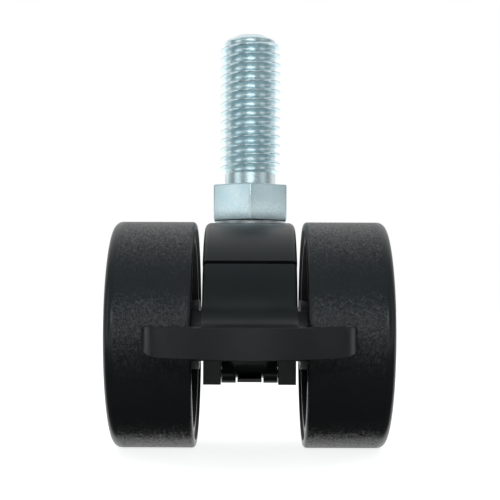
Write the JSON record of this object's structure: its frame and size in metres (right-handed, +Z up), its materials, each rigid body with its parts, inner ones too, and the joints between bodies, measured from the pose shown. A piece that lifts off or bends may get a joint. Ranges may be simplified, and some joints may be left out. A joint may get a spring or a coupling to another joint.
{
  "type": "braked threaded stem castor",
  "caption": "Small twin-wheel swivel castor in black plastic with a zinc-plated threaded stem, a hexagon for the spanner and a foot pedal that brakes the wheels.",
  "frame": {"origin": "on the stem's axis, at the top face of its hexagon, where the furniture rests", "axes": "+Z up the stem, X along the axle, -Y towards the brake pedal"},
  "size_m": [0.0414, 0.046, 0.0669],
  "materials": {
    "zinc_steel": "bright zinc plate with a blue tint",
    "plain_steel": "plain",
    "spring_steel": "satin",
    "housing_plastic": "satin moulded",
    "lever_plastic": "satin moulded",
    "wheel_plastic": "fine grain on the tread"
  },
  "bodies": {
    "stem": {"threaded_stem": "zinc_steel", "thrust_washer": "plain_steel", "stem_snap_ring": "plain_steel"},
    "housing": {"housing": "housing_plastic", "axle": "plain_steel", "left_axle_ring": "plain_steel", "right_axle_ring": "plain_steel", "brake_pivot_pin": "plain_steel", "detent_spring": "spring_steel"},
    "left_wheel": {"left_wheel": "wheel_plastic"},
    "right_wheel": {"right_wheel": "wheel_plastic"},
    "brake_lever": {"brake_lever": "lever_plastic"}
  },
  "joints": [
    {"name": "swivel", "type": "hinge", "parent": "stem", "child": "housing", "pos_m": [0, 0, 0], "axis": [0, 0, 1], "continuous": true},
    {"name": "left_wheel_spin", "type": "hinge", "parent": "housing", "child": "left_wheel", "pos_m": [0, -0.0125, -0.02438], "axis": [1, 0, 0], "continuous": true},
    {"name": "right_wheel_spin", "type": "hinge", "parent": "housing", "child": "right_wheel", "pos_m": [0, -0.0125, -0.02438], "axis": [1, 0, 0], "continuous": true},
    {"name": "brake_press", "type": "hinge", "parent": "housing", "child": "brake_lever", "pos_m": [0, -0.0188, -0.02807], "axis": [1, 0, 0], "range_deg": [0, 13]}
  ]
}
